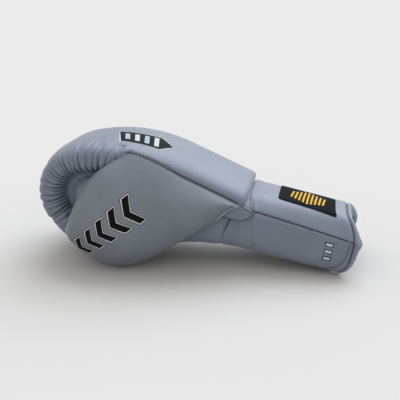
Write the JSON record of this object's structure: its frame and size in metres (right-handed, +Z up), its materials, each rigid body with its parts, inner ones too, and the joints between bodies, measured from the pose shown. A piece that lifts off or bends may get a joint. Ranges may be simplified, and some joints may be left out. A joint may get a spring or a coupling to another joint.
{
  "type": "boxing glove",
  "caption": "Right-hand lace-up leather boxing glove with a padded fist, gathered knuckle roll, attached thumb and a padded wrist cuff that opens on the palm side.",
  "frame": {"origin": "middle of the glove's footprint, on the table", "axes": "+X from the fist to the cuff's open end, +Y from the thumb side to the little finger side, +Z up from the palm to the back of the hand"},
  "size_m": [0.3172, 0.1462, 0.1218],
  "materials": {
    "leather": "smooth, softly glossy grey leather with fine grain",
    "leather_dark": "smooth, softly glossy mid-grey leather",
    "padding": "matt layered foam, hidden inside the leather",
    "lining_cloth": "matt dark lining cloth",
    "stay_cloth": "matt dark webbing",
    "label": "black woven label"
  },
  "bodies": {
    "hand": {"dorsal_cover": "leather", "knuckle_foam_outer": "padding", "knuckle_foam_inner": "padding", "palm_panel": "leather", "little_side_panel": "leather", "finger_gusset": "leather", "little_finger_wall": "leather", "finger_lining": "lining_cloth", "hand_lining": "lining_cloth", "grip_bar": "padding", "wrist_gusset": "leather"},
    "thumb": {"thumb_outer_panel": "leather_dark", "thumb_inner_panel": "leather_dark", "thumb_foam": "padding", "thumb_lining": "lining_cloth"},
    "cuff": {"cuff_back_panel": "leather", "cuff_back_foam": "padding", "cuff_thumb_side_panel": "leather", "cuff_thumb_side_foam": "padding", "cuff_little_side_panel": "leather", "cuff_little_side_foam": "padding", "cuff_lining": "lining_cloth", "cuff_binding": "leather", "wrist_band": "leather", "cuff_label": "label"},
    "flap_thumb": {"lace_flap_thumb_side": "leather", "lace_stay_thumb_side": "stay_cloth"},
    "flap_little": {"lace_flap_little_side": "leather", "lace_stay_little_side": "stay_cloth"}
  },
  "joints": [
    {"name": "thumb_spread", "type": "hinge", "parent": "hand", "child": "thumb", "pos_m": [-0.01784, -0.03415, 0.10127], "axis": [-0.9205, 0, 0.3907], "range_deg": [0, 18], "stiffness_Nm_per_rad": 1.5},
    {"name": "wrist_bend", "type": "hinge", "parent": "hand", "child": "cuff", "pos_m": [0.05241, 0.01723, 0.07315], "axis": [0, 1, 0], "range_deg": [-10, 15], "stiffness_Nm_per_rad": 6},
    {"name": "flap_thumb_open", "type": "hinge", "parent": "cuff", "child": "flap_thumb", "pos_m": [0.04225, -0.01217, 0.01915], "axis": [-0.9828, 0, 0.1848], "range_deg": [0, 40], "stiffness_Nm_per_rad": 0.1},
    {"name": "flap_little_open", "type": "hinge", "parent": "cuff", "child": "flap_little", "pos_m": [0.04225, 0.04663, 0.01915], "axis": [0.9828, 0, -0.1848], "range_deg": [0, 40], "stiffness_Nm_per_rad": 0.1}
  ]
}
